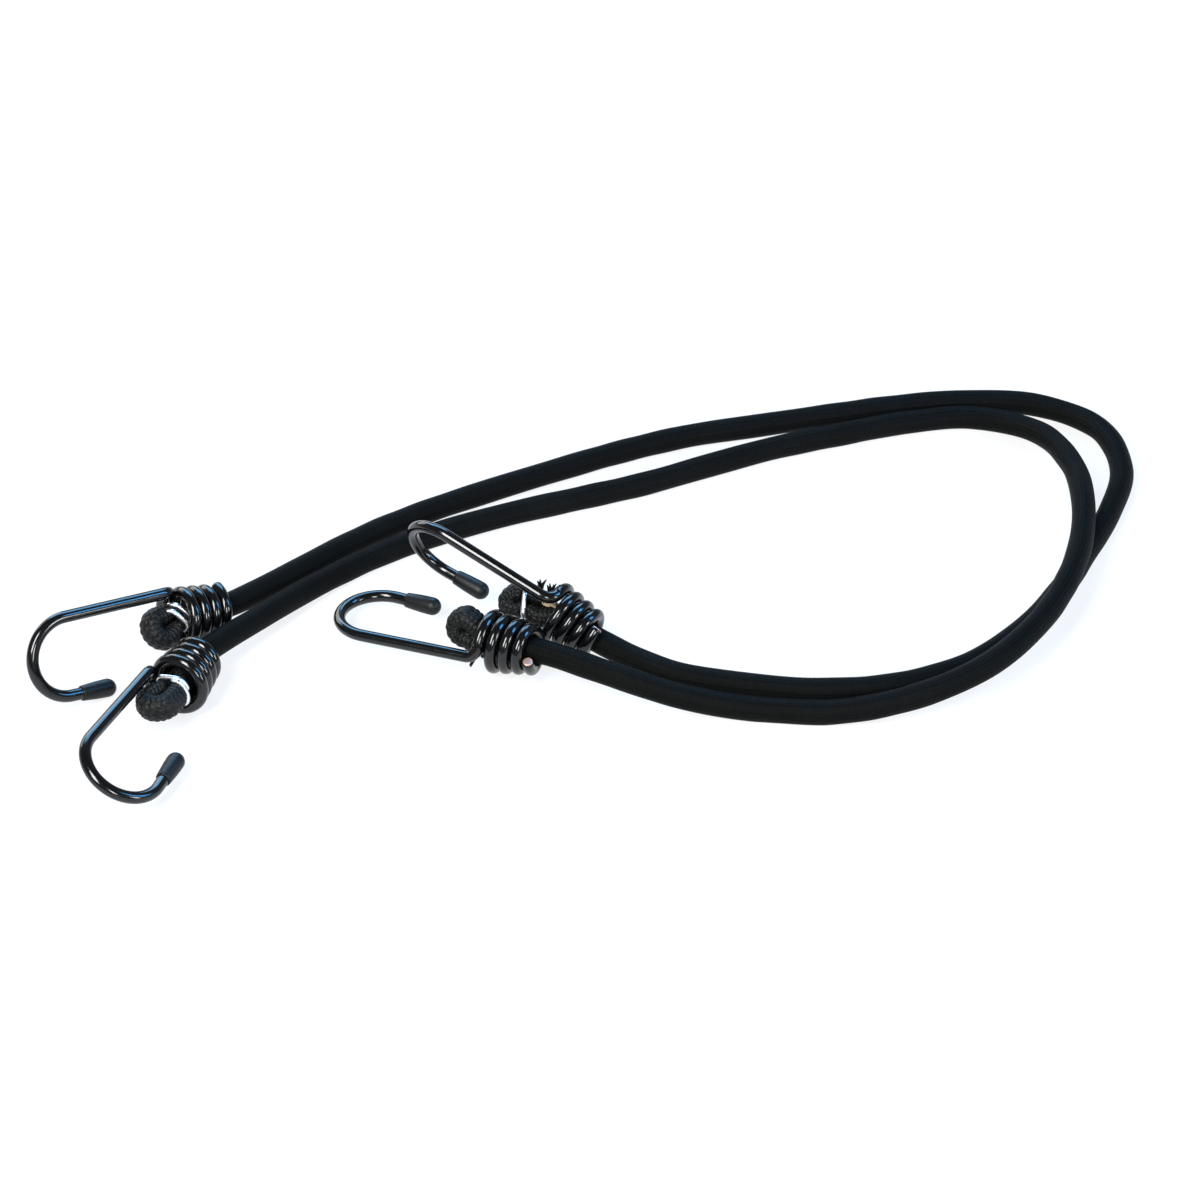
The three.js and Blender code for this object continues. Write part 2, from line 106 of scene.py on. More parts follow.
ROUTES = {
    "back_cord": [
        (-96.8, 9.4, 1.4), (-79.8, 26.4, 0), (-60.3, 40.3, 0), (-38.8, 52.7, 0), (-16.8, 64.3, 0),
        (5.2, 75.1, 0), (27.7, 84.1, 0), (51.2, 90.1, 0), (75.2, 96.1, 0), (99.2, 101.6, 0),
        (123.2, 104.6, 0), (147.2, 102.1, 0), (166.2, 88.6, 0), (171.2, 65.1, 0), (164.7, 41.6, 0),
        (154.2, 19.4, 0), (143.2, -2.1, 0), (129.2, -22.1, 0), (111.2, -38.4, 0), (88.7, -47.9, 0),
        (64.7, -50.4, 0), (40.2, -47.4, 0), (19.2, -42.6, 1),
    ],
    "front_cord": [
        (-108.3, -19.1, 3.6), (-93.3, 0.1, 0.8), (-74.8, 16.7, 0), (-54.3, 29.4, 0), (-32.3, 39.8, 0),
        (-10.3, 48.1, 0), (12.2, 56.6, 0), (34.2, 67.1, 0), (56.2, 77.1, 0), (79.2, 85.1, 0),
        (102.2, 92.1, 0), (125.7, 94.6, 0), (145.2, 83.1, 2.2), (153.7, 60.6, 5.5), (154.7, 36.6, 7.8),
        (151.2, 12.9, 8.1), (143.2, -10.1, 8.1), (131.2, -31.1, 8.1), (114.7, -48.4, 7), (93.2, -57.9, 3.5),
        (69.2, -60.9, 0.2), (45.2, -59.4, 0), (21.7, -56, 2.6), (3.2, -50.4, 5.6),
    ],
}
CORD_ENDS = {"back_cord": ("a", "d"), "front_cord": ("b", "c")}
BODY_OF_END = {"a": "back_cord", "b": "front_cord", "c": "front_cord", "d": "back_cord"}
Z_UP = np.array([0, 0, 1.0])
CAP_FACE_UV = 0.5


def unit(vectors):
    """Vectors divided by their lengths."""
    return vectors / np.linalg.norm(vectors, axis=-1, keepdims=True)


def turned(vector, axis, angle):
    """A vector turned about a unit axis: its part along the axis stays, the rest goes round by the angle."""
    along = axis * (vector @ axis)
    return along + (vector - along) * np.cos(angle) + np.cross(axis, vector) * np.sin(angle)


def end_frame(end):
    """Origin of a coil's axis and its directions out of the coil, upright, to the shank and to the tail."""
    heading, pitch = np.radians(end["heading"]), np.radians(end["pitch"])
    out = np.array([np.cos(pitch) * np.cos(heading), np.cos(pitch) * np.sin(heading), np.sin(pitch)])
    upright = unit(Z_UP - out * out[2])
    shank = turned(upright, out, np.radians(end["roll"]))
    tail = turned(shank, out, np.radians(end["tail_roll"]))
    return np.array(end["place"]) * MM, out, upright, shank, tail


def curve_through(points, samples):
    """Centripetal Catmull-Rom curve: cubic spans whose end slopes come from the roots of distances."""
    points = np.asarray(points, float)
    ends = 2 * points[[0, -1]] - points[[1, -2]]
    p0, p1, p2, p3 = (np.vstack([ends[:1], points, ends[1:]])[k:len(points) - 1 + k] for k in range(4))
    pairs = ((p0, p1), (p1, p2), (p2, p3))
    d0, d1, d2 = (np.sqrt(np.linalg.norm(b - a, axis=1, keepdims=True)) for a, b in pairs)
    m1 = ((p1 - p0) / d0 - (p2 - p0) / (d0 + d1) + (p2 - p1) / d1) * d1
    m2 = ((p2 - p1) / d1 - (p3 - p1) / (d1 + d2) + (p3 - p2) / d2) * d1
    t = np.linspace(0, 1, samples, endpoint=False)[None, :, None]
    p1, p2, m1, m2 = (value[:, None, :] for value in (p1, p2, m1, m2))
    spans = (2 * t**3 - 3 * t**2 + 1) * p1 + (t**3 - 2 * t**2 + t) * m1
    spans = spans + (3 * t**2 - 2 * t**3) * p2 + (t**3 - t**2) * m2
    return np.vstack([spans.reshape(-1, points.shape[1]), points[-1:]])


def lengths_along(points):
    """Distance from the first point to each point along the line through them."""
    return np.concatenate([[0], np.cumsum(np.linalg.norm(np.diff(points, axis=0), axis=1))])


def evenly(points, step):
    """The same line with its points spaced evenly, about a step apart, in every column."""
    travelled = lengths_along(points[:, :3])
    wanted = np.linspace(0, travelled[-1], int(round(travelled[-1] / step)) + 1)
    return np.column_stack([np.interp(wanted, travelled, column) for column in points.T])


def sides_of(points, ups):
    """Right and up at each point, square to the line there, with up as near as can be to the wanted one."""
    tangents = unit(np.gradient(points, axis=0))
    ups = np.broadcast_to(ups, points.shape)
    ups = unit(ups - tangents * np.sum(ups * tangents, axis=1, keepdims=True))
    return np.cross(ups, tangents), ups


def tube(points, rights, ups, across, high, sides):
    """Points of a tube: centre plus right times across times cosine plus up times high times sine."""
    angle = np.linspace(0, 2 * np.pi, sides, endpoint=False)
    across = np.broadcast_to(across, len(points))[:, None, None]
    high = np.broadcast_to(high, len(points))[:, None, None]
    cosine, sine = np.cos(angle)[None, :, None], np.sin(angle)[None, :, None]
    return points[:, None] + rights[:, None] * across * cosine + ups[:, None] * high * sine


def rounded(way_in, least):
    """Size near a rounded end as a share of the full size: a quarter circle, cut off at a least square."""
    return np.sqrt(np.clip(1 - (1 - np.clip(way_in, 0, 1)) ** 2, least, 1))


def on_ground(grid):
    """A grid's points in one list, none of them below the ground."""
    points = grid.reshape(-1, 3).copy()
    points[:, 2] = np.maximum(points[:, 2], 0)
    return points


def tube_faces(rows, sides):
    """Corner numbers of a tube's four-sided faces, row by row, and of its two end faces."""
    corner = np.arange(rows * sides).reshape(rows, sides)
    beside = np.roll(corner, -1, axis=1)
    quads = np.stack([corner[:-1], beside[:-1], beside[1:], corner[1:]], axis=-1).reshape(-1, 4)
    return quads, np.stack([corner[0, ::-1], corner[-1]])


def add_piece(name, mesh, material, body):
    """Puts a mesh in the scene as a piece with its material and slot that rides on a body."""
    mesh.materials.append(material)
    piece = bpy.data.objects.new(name, mesh)
    bpy.context.scene.collection.objects.link(piece)
    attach(piece, body)
    return piece


def skin(name, grid, along, material, body):
    """Mesh over a grid of points, closed round its second axis and at both ends, that rides on a body.
    Its UV map holds the share of the way round and the metres along."""
    rows, sides = grid.shape[:2]
    quads, caps = tube_faces(rows, sides)
    mesh = bpy.data.meshes.new(name)
    mesh.from_pydata(on_ground(grid), [], quads.tolist() + caps.tolist())
    share = np.arange(sides) / sides
    first = np.meshgrid(along[:-1], share, indexing="ij")
    second = np.meshgrid(along[1:], share, indexing="ij")
    step = 1 / sides
    round_way = np.stack([first[1], first[1] + step, first[1] + step, first[1]], axis=-1)
    long_way = np.stack([first[0], first[0], second[0], second[0]], axis=-1)
    quad_uv = np.stack([round_way, long_way], axis=-1).reshape(-1, 2)
    cap_uv = np.vstack([np.tile([CAP_FACE_UV, place], (sides, 1)) for place in (along[0], along[-1])])
    layer = mesh.uv_layers.new(name="surface")
    layer.data.foreach_set("uv", np.vstack([quad_uv, cap_uv]).ravel())
    mesh.polygons.foreach_set("use_smooth", [True] * len(quads) + [False, False])
    return add_piece(name, mesh, material, body)


class Finish:
    """A material and short ways to add nodes to it and join them."""

    def __init__(self, name, colour, roughness, metallic=0.0):
        """A new material of one colour and one roughness, metallic being its share of metal."""
        self.material = bpy.data.materials.new(name)
        self.material.use_nodes = True
        self.tree = self.material.node_tree
        self.surface = self.tree.nodes["Principled BSDF"]
        self.surface.inputs["Base Color"].default_value = (*colour, 1)
        self.surface.inputs["Roughness"].default_value = roughness
        self.surface.inputs["Metallic"].default_value = metallic

    def add(self, kind, inputs=None, **settings):
        """A new node with its settings and inputs, an input being a value or another node's output."""
        node = self.tree.nodes.new("ShaderNode" + kind)
        for key, value in settings.items():
            setattr(node, key, value)
        for key, value in (inputs or {}).items():
            if isinstance(value, bpy.types.NodeSocket):
                self.tree.links.new(value, node.inputs[key])
            else:
                node.inputs[key].default_value = value
        return node

    def math(self, operation, first, second=0.0):
        """The output of a Math node."""
        return self.add("Math", {0: first, 1: second}, operation=operation).outputs[0]

    def noise(self, scale, detail=2.0):
        """The output of a noise over the object's own coordinates, scale being features to the metre."""
        place = self.add("TexCoord").outputs["Object"]
        return self.add("TexNoise", {"Vector": place, "Scale": scale, "Detail": detail}).outputs["Fac"]

    def mixed(self, share, first, second):
        """The colour that a share from 0 to 1 picks between two colours."""
        mix = self.add("Mix", {"Factor": share}, data_type="RGBA")
        mix.inputs[6].default_value = (*first, 1)
        mix.inputs[7].default_value = (*second, 1)
        return mix.outputs[2]

    def spread(self, value, low, high):
        """A value from 0 to 1 spread over a range."""
        return self.add("MapRange", {"Value": value, "To Min": low, "To Max": high}).outputs["Result"]

    def set(self, name, output):
        """Joins an output to an input of the surface."""
        self.tree.links.new(output, self.surface.inputs[name])

    def bump(self, height, distance, strength=1.0):
        """Raises the surface by a height from 0 to 1 times a distance in metres."""
        node = self.add("Bump", {"Height": height, "Distance": distance, "Strength": strength})
        self.set("Normal", node.outputs["Normal"])


# BRAID_DARK is the yarn's black, left in the grooves as painted shade. BRAID_LIGHT is painted on the stitch
# crests as a highlight, and also gives the frayed yarn its random lighter tone.
BRAID_DARK = (0.0012, 0.0013, 0.0012)
BRAID_LIGHT = (0.0105, 0.0112, 0.0104)
BRAID_RIB = 0.66 * MM
BRAID_STITCHES = 22
BRAID_ZIGZAG_SHARE = 0.4
BRAID_DEPTH = 0.14 * MM
BRAID_GLOSS = 0.04
BRAID_ROUGHNESS = 0.62
BRAID_ROUGHNESS_SPREAD = (0.38, 0.6)
BRAID_WALE_SPREAD = (0.5, 1)
BRAID_FUZZ_NOISE = (2600, 3)
BRAID_FUZZ_SHARE = 0.4
BRAID_FUZZ_SPREAD = (0.3, 1)
BRAID_SHEEN_PATCH_NOISE = (60, 3)
BRAID_SHEEN_PATCH_SPREAD = (0.2, 1)


def braid_finish(name, rib, stitches, depth, light, gloss):
    """Woven sheath: waves along the cord make the ribs, and a zigzag round it makes their stitches.
    Its colour is painted lighter on the stitch crests as painted highlight and darker in the grooves as
    painted shade, the highlight weaker in random patches.
    """
    braid = Finish(name, BRAID_DARK, BRAID_ROUGHNESS)
    place = braid.add("SeparateXYZ", {0: braid.add("UVMap", uv_map="surface").outputs["UV"]}).outputs
    zigzag = braid.math("PINGPONG", braid.math("MULTIPLY", place["X"], stitches), 0.5)
    along = braid.math("DIVIDE", place["Y"], rib)
    phase = braid.math("ADD", along, braid.math("MULTIPLY", zigzag, 2 * BRAID_ZIGZAG_SHARE))
    ribs = braid.math("ABSOLUTE", braid.math("SINE", braid.math("MULTIPLY", phase, math.pi)))
    wales = braid.math("MULTIPLY", zigzag, 2)
    stitch = braid.math("MULTIPLY", ribs, braid.spread(wales, *BRAID_WALE_SPREAD))
    fuzz = braid.noise(*BRAID_FUZZ_NOISE)
    height = braid.math("ADD", stitch, braid.math("MULTIPLY", fuzz, BRAID_FUZZ_SHARE))
    braid.bump(height, depth)
    sheen_patches = braid.spread(braid.noise(*BRAID_SHEEN_PATCH_NOISE), *BRAID_SHEEN_PATCH_SPREAD)
    patchy_sheen = braid.math("MULTIPLY", sheen_patches, braid.spread(fuzz, *BRAID_FUZZ_SPREAD))
    # Painted highlight and painted shade: the base colour is lighter on the stitch crests and darker in the
    # grooves, and the highlight is weaker in random patches.
    braid.set("Base Color", braid.mixed(braid.math("MULTIPLY", stitch, patchy_sheen), BRAID_DARK, light))
    braid.set("Roughness", braid.spread(fuzz, *BRAID_ROUGHNESS_SPREAD))
    braid.surface.inputs["Specular IOR Level"].default_value = gloss
    return braid.material


braid_material = braid_finish(
    "woven_sheath", BRAID_RIB, BRAID_STITCHES, BRAID_DEPTH, BRAID_LIGHT, BRAID_GLOSS
)


def cord_line(name):
    """The cord's centre line from inside one coil to inside the other, evenly spaced."""
    straight = []
    for letter in CORD_ENDS[name]:
        origin, out, *_ = end_frame(ENDS[letter])
        rear = COIL_LENGTH + REAR_STRAIGHT
        straight.append([origin - out * rear, origin - out * COIL_LENGTH * SEAM_SHARE])
    lying = np.array(ROUTES[name]) * MM + (0, 0, CORD_REST_HEIGHT)
    (start_rear, start), (finish_rear, finish) = straight
    controls = np.vstack([start, start_rear, lying, finish_rear, finish])
    line = evenly(curve_through(controls, CURVE_SAMPLES), CORD_STEP)
    line[:, 2] = np.maximum(line[:, 2], CORD_REST_HEIGHT)
    return line


for cord_name in CORD_ENDS:
    cord_path = cord_line(cord_name)
    travelled = lengths_along(cord_path)
    rights, ups = sides_of(cord_path, Z_UP)
    wave = 2 * np.pi * travelled / UNEVEN_WAVE
    drift = UNEVEN_DRIFT * np.sin(wave / UNEVEN_DRIFT_WAVES)
    radius = CORD_DIAMETER / 2 + UNEVEN * np.sin(wave + drift)
    surface = tube(cord_path, rights, ups, radius, radius, CORD_SIDES)
    cover = skin(f"{cord_name}_sheath", surface, travelled, braid_material, cord_name)
    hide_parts(f"{cord_name}_cover")


# Each cord end is folded back on itself outside its coil and squeezed by a clip, so that the coil can't slip
# off. The fold swells into a knob. The ribs stand out on it, because the sheath is pulled tight round it.
# Their crests are also painted lighter than on the straight cord, as painted highlight.
NECK_THICKNESS = 3.8 * MM
NECK_WIDTH = 7.6 * MM
NECK_GAP = 0.3 * MM
SWELL_THICKNESS = 5.8 * MM
SWELL_REACH = 1.6 * MM
KNOB_THICKNESS = 6.2 * MM
KNOB_WIDTH = 8 * MM
KNOB_STEPS = 8
FOLD_STEP = 0.12 * MM
FOLD_SIDES = 84
FOLD_RIB = 1.45 * MM
FOLD_STITCHES = 9
# FOLD_LIGHT is painted on the knob's stitch crests as a painted highlight, lighter than on the straight
# cord.
FOLD_LIGHT = (0.014, 0.0155, 0.0145)
FOLD_RIB_DEPTH = 0.34 * MM
FOLD_SKIN = 0.05 * MM
FOLD_BUMP_DEPTH = BRAID_DEPTH / 3
FOLD_GLOSS = 0.2
FOLD_START_SHARES = (0.6, 0.3)
STITCH_LEAST_SHARE = 0.35
RING_WIRE = 1.6 * MM
TAIL_CLEARANCE = 0.6 * MM
RUN_SHIFT = (NECK_THICKNESS + NECK_GAP) / 2
TAIL_ROUNDING = 0.5 * MM
TAIL_LEAST_SHARE = 0.35

fold_material = braid_finish(
    "woven_sheath_stretched", FOLD_RIB, FOLD_STITCHES, FOLD_BUMP_DEPTH, FOLD_LIGHT, FOLD_GLOSS
)


def end_place(end, outward, across):
    """Points of a folded end: out along the axis, across towards the tail, sagging with the distance out."""
    origin, out, upright, _, tail = end_frame(end)
    outward, across = np.asarray(outward)[..., None], np.asarray(across)[..., None]
    sag = end["droop"] * MM * (np.maximum(outward, 0) / (end["reach"] * MM)) ** 2
    return origin + out * outward + tail * across - upright * sag


def fold_line(end):
    """Rows of place, thickness and width from inside the coil, round the knob and back to the cut tail."""
    ring_front = end["ring_at"] * MM + RING_WIRE / 2
    fold, lean = end["fold"] * MM, end["lean"] * MM
    fold_at = end["reach"] * MM - fold - KNOB_THICKNESS / 2
    angle = np.linspace(0, np.pi, KNOB_STEPS + 1)
    tail_at, swell_at = end["tail_at"] * MM, ring_front + SWELL_REACH
    mouth_thick = end["mouth"] * MM
    before = [-COIL_LENGTH * share for share in FOLD_START_SHARES]
    before += [tail_at - TAIL_CLEARANCE, tail_at, ring_front, swell_at]
    outward = np.concatenate([before, fold_at + fold * np.sin(angle), [swell_at, ring_front, tail_at]])
    swell_over = (SWELL_THICKNESS + NECK_GAP) / 2
    swell_lean = lean * (swell_at - ring_front) / (fold_at - ring_front)
    mouth_over = (mouth_thick + NECK_GAP) / 2
    over_out = [0, 0, -mouth_over, -mouth_over, -RUN_SHIFT, swell_lean - swell_over]
    over_back = [swell_lean + swell_over, RUN_SHIFT, RUN_SHIFT]
    across = np.concatenate([over_out, lean - fold * np.cos(angle), over_back])
    cord, knob = CORD_DIAMETER + 2 * FOLD_SKIN, KNOB_STEPS + 1
    thick = [cord] * 2 + [mouth_thick] * 2 + [NECK_THICKNESS, SWELL_THICKNESS] + [KNOB_THICKNESS] * knob
    thick += [SWELL_THICKNESS] + [NECK_THICKNESS] * 2
    wide = [cord] * 2 + [NECK_WIDTH] * 3 + [KNOB_WIDTH] * (knob + 2) + [NECK_WIDTH] * 2
    return np.column_stack([end_place(end, outward, across), thick, wide])


def fold_surface(end):
    """Tube of oval section along the fold with a rounded cut end. Its stitches are the size of a sine along
    the fold, shifted by a zigzag round it, times a second sine round it, and stand out along the radius."""
    rows = evenly(curve_through(fold_line(end), CURVE_SAMPLES), FOLD_STEP)
    points, travelled = rows[:, :3], lengths_along(rows[:, :3])
    _, out, _, _, tail = end_frame(end)
    rights, ups = sides_of(points, np.cross(tail, out))
    left = travelled[-1] - travelled
    rounding = rounded(left / TAIL_ROUNDING, TAIL_LEAST_SHARE)
    grid = tube(points, rights, ups, rows[:, 3] / 2 * rounding, rows[:, 4] / 2 * rounding, FOLD_SIDES)
    wale = np.arange(FOLD_SIDES) * FOLD_STITCHES / FOLD_SIDES
    zigzag = 1 - np.abs((wale % 1) * 2 - 1)
    along = travelled[:, None] / FOLD_RIB + zigzag * BRAID_ZIGZAG_SHARE
    wales = STITCH_LEAST_SHARE + (1 - STITCH_LEAST_SHARE) * np.abs(np.sin(2 * np.pi * wale))
    stitch = np.abs(np.sin(np.pi * along)) * wales
    outward = unit(grid - points[:, None])
    return grid + outward * (stitch * rounding[:, None] * FOLD_RIB_DEPTH)[..., None], travelled


for letter, end in ENDS.items():
    surface, travelled = fold_surface(end)
    skin(f"hook_{letter}_folded_end", surface, travelled, fold_material, BODY_OF_END[letter])


# The core is a bundle of natural rubber strands. It shows only where the cord is cut, as tan strand ends
# that stand a little proud of the sheath, among black yarn ends that fray.
RUBBER_TAN = (0.5, 0.36, 0.19)
RUBBER_PALE = (0.72, 0.6, 0.42)
CORE_RADIUS = 2.8 * MM
CORE_SIDES = 16
CORE_STEP = 4 * MM
STRAND_RADIUS = 0.52 * MM
STRAND_PROUD = {"a": 0.9 * MM, "b": 0.9 * MM, "c": 0.9 * MM, "d": 5.5 * MM}
STRAND_BACK = 1.2 * MM
STRAND_SIDES = 10
STRAND_ROWS = (-2, 3)
STRAND_COLUMNS = (-4, 5)
STRAND_ROW_SHARE = 0.87
STRAND_LEAST_SHARE = 0.5
STRAND_EDGE_SHARE = 0.9
STRAND_TIP_SHARE = 0.8
CUT_FILL_SHARE = 0.62
RUBBER_ROUGHNESS = 0.7
RUBBER_SHADE_NOISE = (900, 3)
RUBBER_GRAIN_NOISE = (3000, 2)
RUBBER_GRAIN = 0.05 * MM
YARN_COUNT = 40
YARN_LENGTH = 1.5 * MM
YARN_RADIUS = 0.12 * MM
YARN_SIDES = 5
YARN_STEPS = 6
YARN_LEAST_SHARE = 0.5
YARN_EDGE_SHARE = 0.93
YARN_TAPER_SHARE = 0.75
YARN_ROOT = 0.5 * MM
YARN_SWING = (0.3, 1.1)
YARN_SCATTER = 0.3
YARN_ROUGHNESS = 0.6
YARN_GLOSS = 0.15
YARN_NOISE_SCALE = 1500
# Each tuft has a root and a tip: mm out along the coil's axis, mm from it and degrees round from upright.
TUFTS = {
    "c": [((2.0, 5.0, -119), (2.9, 9.4, -119))],
    "d": [((6.5, 4.5, 25), (7.2, 8.4, 7)), ((3.0, 4.0, 30), (3.8, 9.1, 7)), ((2.6, 4.0, 30), (2.6, 9.5, 7))],
}
TUFT_YARNS = 6
TUFT_SPREAD = 0.4 * MM
TUFT_RADIUS = 0.5 * MM
TUFT_GATHER = 3
TUFT_TAPER_SHARE = 0.7
TUFT_UP = np.array([0.3, 1.0, 0.1])

rubber = Finish("rubber_strands", RUBBER_TAN, RUBBER_ROUGHNESS)
shade = rubber.spread(rubber.noise(*RUBBER_SHADE_NOISE), 0, 1)
rubber.set("Base Color", rubber.mixed(shade, RUBBER_TAN, RUBBER_PALE))
rubber.bump(rubber.noise(*RUBBER_GRAIN_NOISE), RUBBER_GRAIN)
for cord_name in CORD_ENDS:
    core_path = evenly(cord_line(cord_name), CORE_STEP)
    travelled = lengths_along(core_path)
    grid = tube(core_path, *sides_of(core_path, Z_UP), CORE_RADIUS, CORE_RADIUS, CORE_SIDES)
    core = skin(f"{cord_name}_strand_bundle", grid, travelled, rubber.material, cord_name)
    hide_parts(f"{cord_name}_rubber_core")

yarn = Finish("frayed_yarn", BRAID_LIGHT, YARN_ROUGHNESS)
yarn.set("Base Color", yarn.mixed(yarn.noise(YARN_NOISE_SCALE), BRAID_DARK, BRAID_LIGHT))
yarn.surface.inputs["Specular IOR Level"].default_value = YARN_GLOSS


def joined(name, grids, material, body):
    """One mesh of many small closed tubes, each a grid of points of the same size."""
    grids = np.asarray(grids)
    count, rows, sides = grids.shape[:3]
    quads, caps = tube_faces(rows, sides)
    shift = (np.arange(count) * rows * sides)[:, None, None]
    faces = (quads[None] + shift).reshape(-1, 4).tolist()
    faces += (caps[None] + shift).reshape(-1, sides).tolist()
    mesh = bpy.data.meshes.new(name)
    mesh.from_pydata(on_ground(grids), [], faces)
    mesh.polygons.foreach_set("use_smooth", [True] * (count * len(quads)) + [False] * (2 * count))
    return add_piece(name, mesh, material, body)


def cut_frame(end):
    """Middle of the tail's cut face and its directions: out of the cut, across the thickness, and wide."""
    _, out, _, _, tail = end_frame(end)
    middle = end_place(end, end["tail_at"] * MM, RUN_SHIFT)
    return middle, -out, tail, np.cross(tail, out)


def strand_ends(end, longest, seed):
    """Short rods on a close-packed pattern inside the cut's oval, each standing proud by its own amount."""
    rng = np.random.default_rng(seed)
    middle, way, thick, wide = cut_frame(end)
    pitch = 2 * STRAND_RADIUS
    row, column = np.meshgrid(np.arange(*STRAND_ROWS), np.arange(*STRAND_COLUMNS), indexing="ij")
    across = row.ravel() * pitch * STRAND_ROW_SHARE
    over = (column + (row % 2) / 2).ravel() * pitch
    inside = (across / (NECK_THICKNESS / 2)) ** 2 + (over / (NECK_WIDTH / 2)) ** 2 < CUT_FILL_SHARE
    rods = []
    for x, y in zip(across[inside], over[inside]):
        proud = longest * rng.uniform(STRAND_LEAST_SHARE, 1)
        reach = np.array([-STRAND_BACK, proud * STRAND_EDGE_SHARE, proud])[:, None]
        line = middle + thick * x + wide * y + way * reach
        size = STRAND_RADIUS * np.array([1, 1, STRAND_TIP_SHARE])
        rods.append(tube(line, *sides_of(line, thick), size, size, STRAND_SIDES))
    return rods


def yarn_ends(end, seed):
    """Thin tapering yarns that leave the cut's edge and bend outwards along a parabola."""
    rng = np.random.default_rng(seed)
    middle, way, thick, wide = cut_frame(end)
    yarns = []
    t = np.linspace(0, 1, YARN_STEPS)[:, None]
    for angle in rng.uniform(0, 2 * np.pi, YARN_COUNT):
        edge = thick * np.cos(angle) * NECK_THICKNESS / 2 + wide * np.sin(angle) * NECK_WIDTH / 2
        swing = unit(edge) * rng.uniform(*YARN_SWING) + rng.normal(0, YARN_SCATTER, 3)
        long = YARN_LENGTH * rng.uniform(YARN_LEAST_SHARE, 1)
        root = middle + edge * YARN_EDGE_SHARE - way * YARN_ROOT
        line = root + way * long * t + swing * long * t**2
        size = YARN_RADIUS * (1 - YARN_TAPER_SHARE * t[:, 0])
        yarns.append(tube(line, *sides_of(line, np.cross(way, swing)), size, size, YARN_SIDES))
    return yarns


def round_place(end, spot):
    """The point at a distance out along the axis, a radius from it and an angle from its upright."""
    origin, out, upright, *_ = end_frame(end)
    return origin + (out * spot[0] + turned(upright, out, np.radians(spot[2])) * spot[1]) * MM


def tuft_yarns(end, root, tip, seed):
    """Thick yarns that spread from a root to a blunt tip, each thinning with the cube of its share."""
    rng = np.random.default_rng(seed)
    t = np.linspace(0, 1, YARN_STEPS)[:, None]
    first, last = round_place(end, root), round_place(end, tip)
    yarns = []
    for scatter in rng.normal(0, TUFT_SPREAD, (TUFT_YARNS, 3)):
        line = first + scatter / TUFT_GATHER + (last - first) * t + scatter * t**2
        size = TUFT_RADIUS * (1 - TUFT_TAPER_SHARE * t[:, 0] ** 3)
        yarns.append(tube(line, *sides_of(line, TUFT_UP), size, size, YARN_SIDES))
    return yarns


for seed, (letter, end) in enumerate(ENDS.items()):
    body = BODY_OF_END[letter]
    strands = strand_ends(end, STRAND_PROUD[letter], seed)
    joined(f"hook_{letter}_strand_ends", strands, rubber.material, body)
    yarns = yarn_ends(end, seed)
    for root, tip in TUFTS.get(letter, []):
        yarns += tuft_yarns(end, root, tip, seed)
    joined(f"hook_{letter}_yarn_ends", yarns, yarn.material, body)


# A bright plated wire clip is crimped round the two runs of the folded end, in the neck between coil and
# knob. Its ends overlap, so two bars lie side by side for part of the way round, each clip in its own way.
RING_STEPS = 200
RING_STEP = 0.3 * MM
RING_SIDES = 20
RING_END_SHARE = 0.3
RING_SQUEEZE = 4
PLATING_COLOUR = (0.86, 0.88, 0.9)
PLATING_ROUGHNESS = 0.3
PLATING_NOISE = (1400, 3)
PLATING_ROUGHNESS_SPREAD = (0.22, 0.42)
PLATING_DENT_NOISE = (700, 2)
PLATING_DENT = 0.04 * MM
# at is the distance out along the axis, lift the height above it and loose the room inside the clip, in mm.
# start is the angle at which the wire begins, turns and pitch make its helix, tilt and swing turn the whole.
RINGS = {
    "a": {
        "at": 0.1, "lift": 0.2, "loose": 0, "start": 180, "turns": 1.5, "pitch": 2.8,
        "tilt": 20, "swing": 32,
    },
    "b": {
        "at": 1.5, "lift": 0, "loose": 0.25, "start": -175, "turns": 1.22, "pitch": 1.15,
        "tilt": 8, "swing": 0,
    },
    "c": {
        "at": 0.5, "lift": 0, "loose": 0.25, "start": -60, "turns": 1.1, "pitch": 1.7,
        "tilt": 0, "swing": 0,
    },
    "d": {
        "at": 6.4, "lift": -0.8, "loose": 1, "start": 310, "turns": 1.15, "pitch": 3,
        "tilt": 24, "swing": 8,
    },
}

plating = Finish("plated_clip", PLATING_COLOUR, PLATING_ROUGHNESS, metallic=1.0)
plating.set("Roughness", plating.spread(plating.noise(*PLATING_NOISE), *PLATING_ROUGHNESS_SPREAD))
plating.bump(plating.noise(*PLATING_DENT_NOISE), PLATING_DENT)


def ring_line(end, ring):
    """Helix squeezed to the neck's outline: circles of the run's shift apart joined by straights, so that a
    point's place along the tail is the shift times a clipped cosine plus a radius times the cosine.
    The whole is tilted about the level line across the axis, then swung about the vertical."""
    _, out, upright, _, tail = end_frame(end)
    level = np.cross(upright, out)
    tilt, swing = np.radians(ring["tilt"]), np.radians(ring["swing"])
    ways = [turned(turned(way, level, tilt), Z_UP, swing) for way in (out, tail, np.cross(out, tail))]
    outside = ring["loose"] * MM + RING_WIRE / 2
    along, wide = NECK_THICKNESS / 2 + outside, NECK_WIDTH / 2 + outside
    angle = np.radians(ring["start"]) + np.linspace(0, 2 * np.pi * ring["turns"], RING_STEPS)
    squeezed = RUN_SHIFT * np.clip(np.cos(angle) * RING_SQUEEZE, -1, 1) + along * np.cos(angle)
    advance = ring["pitch"] * MM * ring["turns"] * np.linspace(-0.5, 0.5, RING_STEPS)
    offset = np.column_stack([advance, squeezed, wide * np.sin(angle)]) @ np.array(ways)
    return end_place(end, ring["at"] * MM, 0.0) + upright * ring["lift"] * MM + offset


